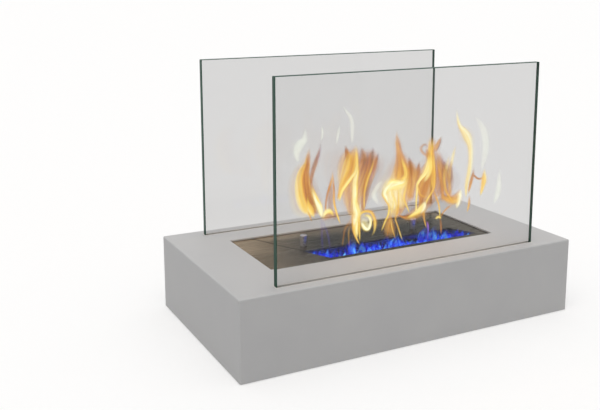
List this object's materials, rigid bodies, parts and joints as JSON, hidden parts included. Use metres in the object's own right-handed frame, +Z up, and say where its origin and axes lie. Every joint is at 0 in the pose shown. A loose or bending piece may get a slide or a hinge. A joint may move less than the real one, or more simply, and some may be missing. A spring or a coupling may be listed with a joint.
{
  "type": "bioethanol fireplace",
  "caption": "Tabletop bioethanol fireplace: low painted steel box, upright glass panes front and rear, and a lift-out steel burner with a sliding shutter.",
  "frame": {"origin": "middle of the footprint, on the surface that the rubber feet stand on", "axes": "+X along the long side towards the right, +Y from the front pane to the rear pane, +Z up"},
  "size_m": [0.5, 0.28, 0.354],
  "materials": {
    "grey_paint": "fine satin powder coat, light grey",
    "brushed_stainless": "brushed lengthwise, faintly heat tinted by use",
    "turned_stainless": "finely turned",
    "zinc_plated_steel": "bright zinc plate",
    "tempered_glass": "clear, edges ground and polished",
    "black_rubber": "matt",
    "grey_silicone": "satin, light grey",
    "ceramic_wool": "matt fibre, darkened by soot"
  },
  "bodies": {
    "casing": {"casing": "grey_paint", "base_plate": "zinc_plated_steel", "base_ledge_front": "zinc_plated_steel", "base_ledge_rear": "zinc_plated_steel", "base_ledge_left": "zinc_plated_steel", "base_ledge_right": "zinc_plated_steel", "base_screws": "zinc_plated_steel", "foot_front_left": "black_rubber", "foot_front_right": "black_rubber", "foot_rear_left": "black_rubber", "foot_rear_right": "black_rubber", "front_glass_channel": "zinc_plated_steel", "rear_glass_channel": "zinc_plated_steel", "front_gasket": "grey_silicone", "rear_gasket": "grey_silicone", "channel_studs": "zinc_plated_steel", "channel_nuts": "zinc_plated_steel", "burner_support_frame": "zinc_plated_steel"},
    "burner": {"burner_top_plate": "brushed_stainless", "burner_cover": "brushed_stainless", "burner_tank": "brushed_stainless", "ceramic_fibre": "ceramic_wool", "fibre_mesh": "brushed_stainless"},
    "shutter": {"shutter": "brushed_stainless", "knob_left": "turned_stainless", "knob_right": "turned_stainless"},
    "front_glass": {"front_pane": "tempered_glass"},
    "rear_glass": {"rear_pane": "tempered_glass"}
  },
  "joints": [
    {"name": "burner_lift", "type": "slide", "parent": "casing", "child": "burner", "axis": [0, 0, 1], "range_m": [0, 0.065]},
    {"name": "shutter_slide", "type": "slide", "parent": "burner", "child": "shutter", "axis": [0.4384, -0.8988, 0], "range_m": [0, 0.04423]},
    {"name": "front_glass_lift", "type": "slide", "parent": "casing", "child": "front_glass", "axis": [0, 0, 1], "range_m": [0, 0.03]},
    {"name": "rear_glass_lift", "type": "slide", "parent": "casing", "child": "rear_glass", "axis": [0, 0, 1], "range_m": [0, 0.03]}
  ]
}
